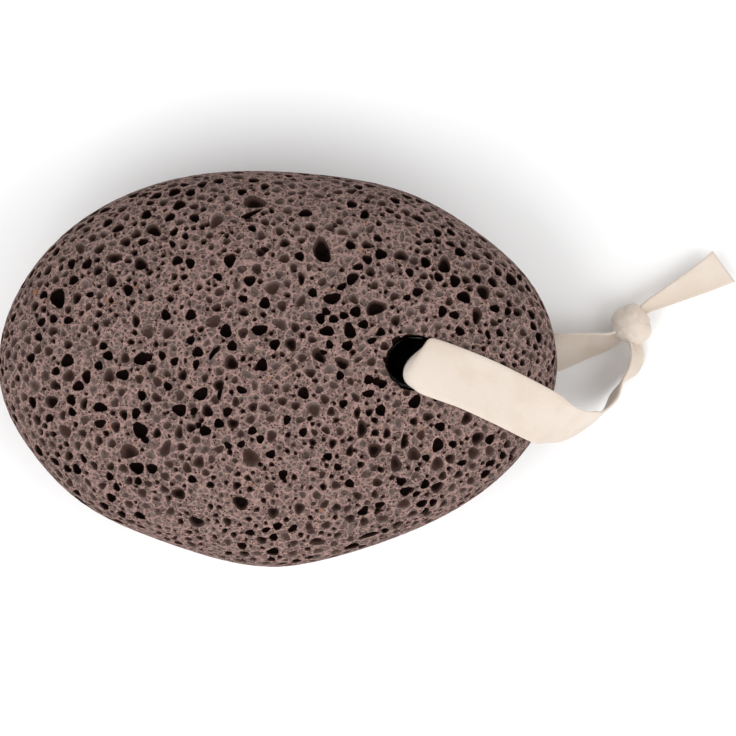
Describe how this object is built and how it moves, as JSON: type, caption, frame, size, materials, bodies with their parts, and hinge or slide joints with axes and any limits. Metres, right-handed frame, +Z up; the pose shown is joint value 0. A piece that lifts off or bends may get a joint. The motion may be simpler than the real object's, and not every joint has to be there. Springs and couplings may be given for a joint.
{
  "type": "pumice stone",
  "caption": "Oval foot-care stone of porous lava, drilled near one end, with a cotton tape knotted through the hole to hang it by.",
  "frame": {"origin": "middle of the flat, worn resting face under the stone", "axes": "+X along the stone towards its drilled end and the knotted tape, +Y across the stone, +Z up from the resting face"},
  "size_m": [0.1345, 0.0711, 0.0382],
  "materials": {
    "lava": "matt",
    "cotton": "matt"
  },
  "bodies": {
    "root": {"stone": "lava", "tape": "cotton"}
  },
  "joints": []
}
